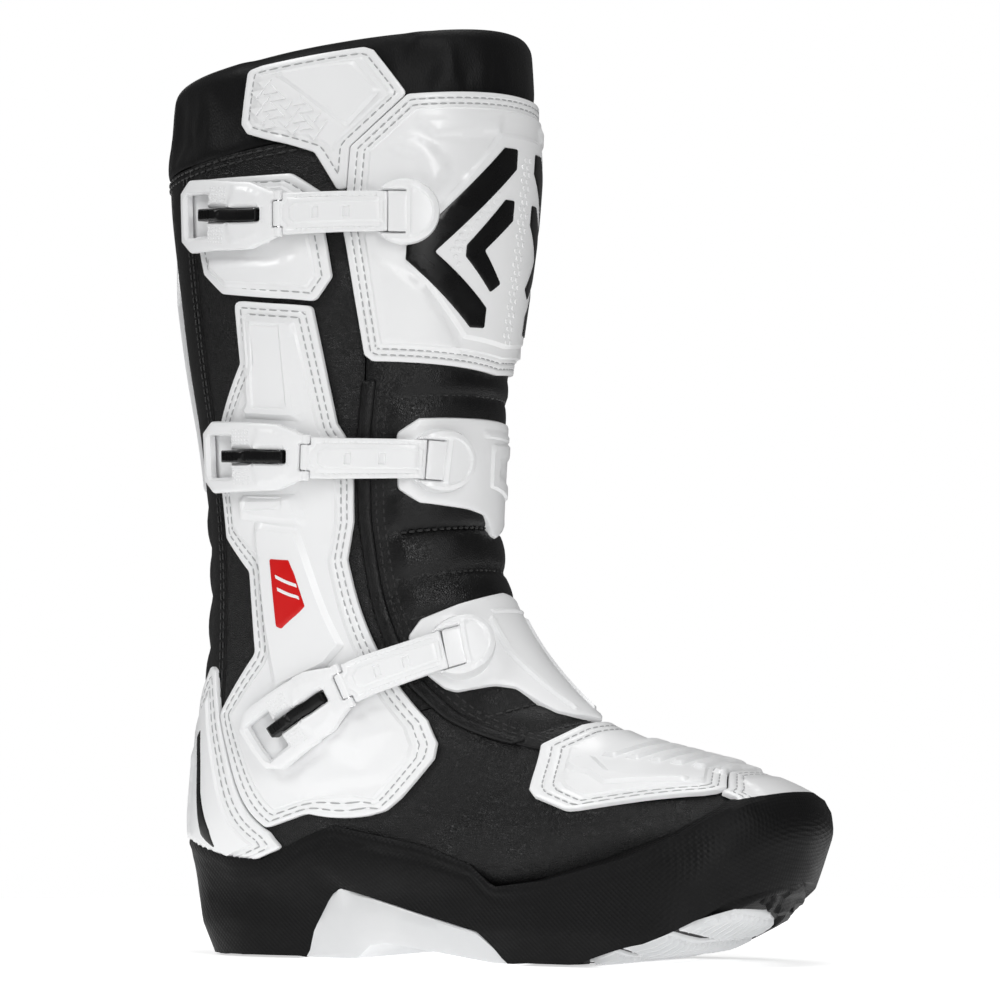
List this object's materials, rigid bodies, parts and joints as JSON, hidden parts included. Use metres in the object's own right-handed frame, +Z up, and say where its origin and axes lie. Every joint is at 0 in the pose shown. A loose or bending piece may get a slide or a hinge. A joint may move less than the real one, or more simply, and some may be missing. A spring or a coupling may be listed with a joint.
{
  "type": "riding boot",
  "caption": "Tall off-road riding boot for the right foot, leather with moulded plates, cup sole and hinged buckles.",
  "frame": {"origin": "on the ground, at the middle of the heel's flat face", "axes": "+X towards the toe, +Z up along the shaft, +Y towards the inner side of the leg, so the buckles are on -Y"},
  "size_m": [0.3122, 0.1369, 0.403],
  "materials": {
    "white_tpu": "glossy moulded TPU",
    "black_leather": "grained microfibre leather, semi-matt",
    "black_textile": "matt textile over foam",
    "black_rubber": "matt moulded rubber",
    "black_plastic": "satin moulded plastic",
    "white_rubber": "satin moulded rubber",
    "grey_board": "fibre board",
    "steel": "plain steel"
  },
  "bodies": {
    "boot": {"outsole": "black_rubber", "arch_insert": "white_rubber", "tread_insert": "white_rubber", "steel_shank": "steel", "foot_lining": "black_textile", "shaft_lining": "black_textile", "toe_box": "black_plastic", "heel_counter": "black_plastic", "outer_ankle_pad": "black_textile", "inner_ankle_pad": "black_textile", "insole_board": "grey_board", "footbed": "black_textile", "vamp": "black_leather", "heel_quarter": "black_leather", "front_flex_panel": "black_leather", "outer_shaft_panel": "black_leather", "inner_shaft_panel": "black_leather", "rear_flex_panel": "black_leather", "collar": "black_textile", "shin_plate": "white_tpu", "collar_side_plate": "white_tpu", "top_buckle_backing": "white_tpu", "outer_side_plate": "white_tpu", "inner_side_guard": "white_tpu", "calf_plate": "white_tpu", "heel_cup": "white_tpu", "toe_plate": "white_tpu", "toe_cap": "white_tpu", "instep_pad": "white_tpu", "ankle_cuff": "white_tpu", "tongue_binding": "black_leather", "adjuster_disc_top": "white_tpu", "buckle_base_top": "white_tpu", "adjuster_disc_mid": "white_tpu", "buckle_base_mid": "white_tpu", "adjuster_disc_low": "white_tpu", "buckle_base_low": "white_tpu"},
    "strap_top": {"strap_top": "white_tpu", "buckle_pin_top": "steel"},
    "lever_top": {"buckle_lever_top": "white_tpu", "latch_pin_top": "steel"},
    "latch_top": {"latch_top": "black_plastic"},
    "strap_mid": {"strap_mid": "white_tpu", "buckle_pin_mid": "steel"},
    "lever_mid": {"buckle_lever_mid": "white_tpu", "latch_pin_mid": "steel"},
    "latch_mid": {"latch_mid": "black_plastic"},
    "strap_low": {"strap_low": "white_tpu", "buckle_pin_low": "steel"},
    "lever_low": {"buckle_lever_low": "white_tpu", "latch_pin_low": "steel"},
    "latch_low": {"latch_low": "black_plastic"}
  },
  "joints": [
    {"name": "strap_top_swing", "type": "hinge", "parent": "boot", "child": "strap_top", "pos_m": [0.08515, -0.05879, 0.32014], "axis": [0.0366, -0.0522, 0.998], "range_deg": [0, 60]},
    {"name": "lever_top_fold", "type": "hinge", "parent": "strap_top", "child": "lever_top", "pos_m": [0.03811, -0.06933, 0.32063], "axis": [0.0201, -0.0431, 0.9989], "range_deg": [0, 110]},
    {"name": "latch_top_lift", "type": "hinge", "parent": "lever_top", "child": "latch_top", "pos_m": [0.02551, -0.0692, 0.32095], "axis": [0.0428, -0.0449, 0.9981], "range_deg": [0, 25]},
    {"name": "strap_mid_swing", "type": "hinge", "parent": "boot", "child": "strap_mid", "pos_m": [0.09351, -0.03965, 0.2143], "axis": [0.0879, -0.0179, 0.996], "range_deg": [0, 60]},
    {"name": "lever_mid_fold", "type": "hinge", "parent": "strap_mid", "child": "lever_mid", "pos_m": [0.04657, -0.05978, 0.21551], "axis": [0.0811, -0.0886, 0.9928], "range_deg": [0, 110]},
    {"name": "latch_mid_lift", "type": "hinge", "parent": "lever_mid", "child": "latch_mid", "pos_m": [0.03379, -0.06045, 0.21623], "axis": [0.0409, -0.0973, 0.9944], "range_deg": [0, 25]},
    {"name": "strap_low_swing", "type": "hinge", "parent": "boot", "child": "strap_low", "pos_m": [0.10241, -0.03937, 0.13217], "axis": [-0.3133, 0.0687, 0.9472], "range_deg": [0, 60]},
    {"name": "lever_low_fold", "type": "hinge", "parent": "strap_low", "child": "lever_low", "pos_m": [0.06136, -0.05241, 0.11691], "axis": [-0.4185, -0.0619, 0.9061], "range_deg": [0, 110]},
    {"name": "latch_low_lift", "type": "hinge", "parent": "lever_low", "child": "latch_low", "pos_m": [0.05018, -0.05312, 0.11117], "axis": [-0.5172, -0.0528, 0.8543], "range_deg": [0, 25]}
  ]
}
